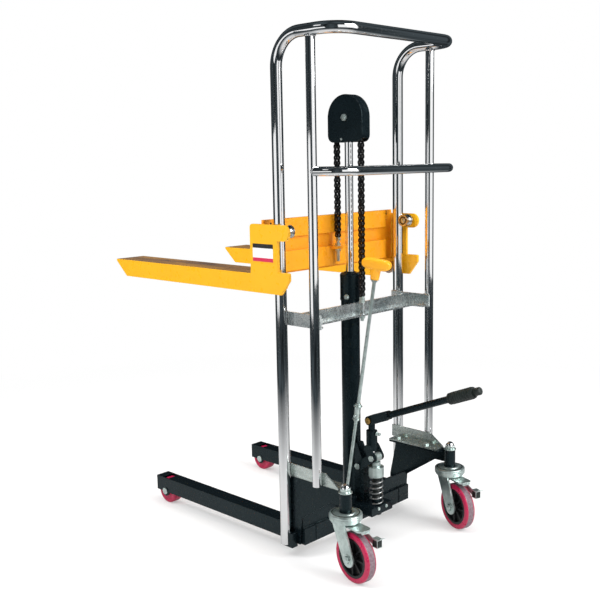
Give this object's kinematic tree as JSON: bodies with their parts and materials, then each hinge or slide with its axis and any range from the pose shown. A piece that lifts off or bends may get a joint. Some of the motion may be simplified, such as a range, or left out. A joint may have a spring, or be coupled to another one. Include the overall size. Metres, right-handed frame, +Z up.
{
  "type": "hand pallet stacker",
  "caption": "Manual lift truck: chromed tube mast on floor legs and braked casters, with a lever pump and chain that raise a fork carriage on guide rollers.",
  "frame": {"origin": "on the floor, in the middle of the outer box: midway between the two sides, and midway between the fork tips and the end of the pump lever", "axes": "+Z up, -Y towards the fork tips, +Y towards the operator, +X to the operator's left"},
  "size_m": [0.582, 1.2197, 1.475],
  "materials": {
    "chrome_tube": "bright chrome plate",
    "zinc_plate": "dull zinc plate",
    "black_enamel": "semi-gloss black enamel",
    "yellow_enamel": "gloss orange-yellow enamel",
    "yellow_grip": "moulded yellow plastic",
    "chain_steel": "oiled dark steel",
    "brass_pin": "bright turned brass",
    "roller_steel": "ground bearing steel",
    "red_polyurethane": "cast polyurethane, worn grey on the tread",
    "black_hub": "ribbed moulded nylon",
    "black_rubber": "moulded rubber"
  },
  "bodies": {
    "frame": {"mast_upright_left": "chrome_tube", "mast_upright_right": "chrome_tube", "push_hoop": "chrome_tube", "mast_stay_left": "chrome_tube", "mast_stay_right": "chrome_tube", "mid_handle": "chrome_tube", "cross_beam": "zinc_plate", "rear_chain_stud": "zinc_plate", "floor_leg_left": "black_enamel", "floor_leg_right": "black_enamel", "cross_member": "black_enamel", "chassis_gusset_left": "black_enamel", "chassis_gusset_right": "black_enamel", "tube_shoes": "black_enamel", "tube_brackets": "zinc_plate", "chassis_fasteners": "zinc_plate", "caster_stems": "zinc_plate", "lift_cylinder": "black_enamel", "cylinder_gland": "black_enamel", "pump_block": "black_enamel", "pump_spring": "chain_steel", "chain_rear": "chain_steel"},
    "ram": {"ram_rod": "chrome_tube", "chain_yoke": "black_enamel", "chain_cover": "black_enamel", "sprocket_axle": "zinc_plate", "chain_wrap": "chain_steel"},
    "sprocket": {"chain_sprocket": "chain_steel"},
    "carriage": {"carriage_plate_left": "yellow_enamel", "carriage_plate_right": "yellow_enamel", "carriage_back": "yellow_enamel", "fork_left": "yellow_enamel", "fork_right": "yellow_enamel", "guide_roller_axles": "roller_steel", "front_chain_stud": "zinc_plate", "chain_front": "chain_steel"},
    "plunger": {"pump_plunger": "zinc_plate"},
    "rocker": {"pump_rocker": "black_enamel", "rocker_bolts": "zinc_plate"},
    "rocker_roller": {"rocker_roller": "zinc_plate"},
    "lever": {"pump_lever": "black_enamel", "knuckle_pin": "brass_pin", "lever_grip": "black_rubber"},
    "release": {"release_handle": "yellow_grip", "release_rods": "zinc_plate"},
    "load_roller_left": {"load_roller_left": "red_polyurethane"},
    "guide_upper_left": {"guide_roller_upper_left": "roller_steel"},
    "guide_lower_left": {"guide_roller_lower_left": "roller_steel"},
    "caster_left": {"caster_fork_left": "zinc_plate"},
    "caster_wheel_left": {"caster_hub_left": "black_hub", "caster_tyre_left": "red_polyurethane"},
    "caster_brake_left": {"caster_brake_left": "zinc_plate"},
    "load_roller_right": {"load_roller_right": "red_polyurethane"},
    "guide_upper_right": {"guide_roller_upper_right": "roller_steel"},
    "guide_lower_right": {"guide_roller_lower_right": "roller_steel"},
    "caster_right": {"caster_fork_right": "zinc_plate"},
    "caster_wheel_right": {"caster_hub_right": "black_hub", "caster_tyre_right": "red_polyurethane"},
    "caster_brake_right": {"caster_brake_right": "zinc_plate"}
  },
  "joints": [
    {"name": "ram_lift", "type": "slide", "parent": "frame", "child": "ram", "axis": [0, 0, 1], "range_m": [-0.3605, 0.185], "deforming": ["chain_rear"]},
    {"name": "carriage_lift", "type": "slide", "parent": "ram", "child": "carriage", "axis": [0, 0, 1], "range_m": [-0.3605, 0.185], "deforming": ["chain_front"]},
    {"name": "sprocket_turn", "type": "hinge", "parent": "ram", "child": "sprocket", "pos_m": [0, 0.15215, 1.247], "axis": [1, 0, 0], "range_deg": [-235, 455]},
    {"name": "pump_stroke", "type": "hinge", "parent": "frame", "child": "rocker", "pos_m": [0, 0.19315, 0.22], "axis": [-1, 0, 0], "range_deg": [0, 25], "stiffness_Nm_per_rad": 12, "springref_deg": -34.38},
    {"name": "plunger_slide", "type": "slide", "parent": "frame", "child": "plunger", "axis": [0, 0, -1], "range_m": [0, 0.029], "deforming": ["pump_spring"]},
    {"name": "lever_fold", "type": "hinge", "parent": "rocker", "child": "lever", "pos_m": [0, 0.23115, 0.366], "axis": [1, 0, 0], "range_deg": [0, 50]},
    {"name": "rocker_roller_spin", "type": "hinge", "parent": "rocker", "child": "rocker_roller", "pos_m": [0, 0.24715, 0.2554], "axis": [1, 0, 0], "continuous": true},
    {"name": "release_twist", "type": "hinge", "parent": "frame", "child": "release", "pos_m": [0.045, 0.16815, 0.13], "axis": [0, 0.1692, 0.9856], "range_deg": [0, 60]},
    {"name": "load_roller_left_spin", "type": "hinge", "parent": "frame", "child": "load_roller_left", "pos_m": [0.218, -0.46385, 0.042], "axis": [1, 0, 0], "continuous": true},
    {"name": "guide_upper_left_spin", "type": "hinge", "parent": "carriage", "child": "guide_upper_left", "pos_m": [0.262, 0.15545, 0.937], "axis": [1, 0, 0], "continuous": true},
    {"name": "guide_lower_left_spin", "type": "hinge", "parent": "carriage", "child": "guide_lower_left", "pos_m": [0.262, 0.09685, 0.786], "axis": [1, 0, 0], "continuous": true},
    {"name": "caster_left_swivel", "type": "hinge", "parent": "frame", "child": "caster_left", "pos_m": [0.245, 0.34015, 0.1754], "axis": [0, 0, 1], "continuous": true},
    {"name": "caster_wheel_left_spin", "type": "hinge", "parent": "caster_left", "child": "caster_wheel_left", "pos_m": [0.25229, 0.38151, 0.07], "axis": [0.9848, -0.1736, 0], "continuous": true},
    {"name": "caster_brake_left_press", "type": "hinge", "parent": "caster_left", "child": "caster_brake_left", "pos_m": [0.24847, 0.35985, 0.152], "axis": [-0.9848, 0.1736, 0], "range_deg": [0, 16]},
    {"name": "load_roller_right_spin", "type": "hinge", "parent": "frame", "child": "load_roller_right", "pos_m": [-0.218, -0.46385, 0.042], "axis": [1, 0, 0], "continuous": true},
    {"name": "guide_upper_right_spin", "type": "hinge", "parent": "carriage", "child": "guide_upper_right", "pos_m": [-0.262, 0.15545, 0.937], "axis": [1, 0, 0], "continuous": true},
    {"name": "guide_lower_right_spin", "type": "hinge", "parent": "carriage", "child": "guide_lower_right", "pos_m": [-0.262, 0.09685, 0.786], "axis": [1, 0, 0], "continuous": true},
    {"name": "caster_right_swivel", "type": "hinge", "parent": "frame", "child": "caster_right", "pos_m": [-0.245, 0.34015, 0.1754], "axis": [0, 0, 1], "continuous": true},
    {"name": "caster_wheel_right_spin", "type": "hinge", "parent": "caster_right", "child": "caster_wheel_right", "pos_m": [-0.23064, 0.37962, 0.07], "axis": [0.9397, -0.342, 0], "continuous": true},
    {"name": "caster_brake_right_press", "type": "hinge", "parent": "caster_right", "child": "caster_brake_right", "pos_m": [-0.23816, 0.35894, 0.152], "axis": [-0.9397, 0.342, 0], "range_deg": [0, 16]}
  ],
  "couplings": [
    {"joint": "carriage_lift", "follows": "ram_lift", "ratio": 1},
    {"joint": "sprocket_turn", "follows": "ram_lift", "rad_per_m": -21.877},
    {"joint": "plunger_slide", "follows": "pump_stroke", "m_per_rad": 0.0655}
  ]
}
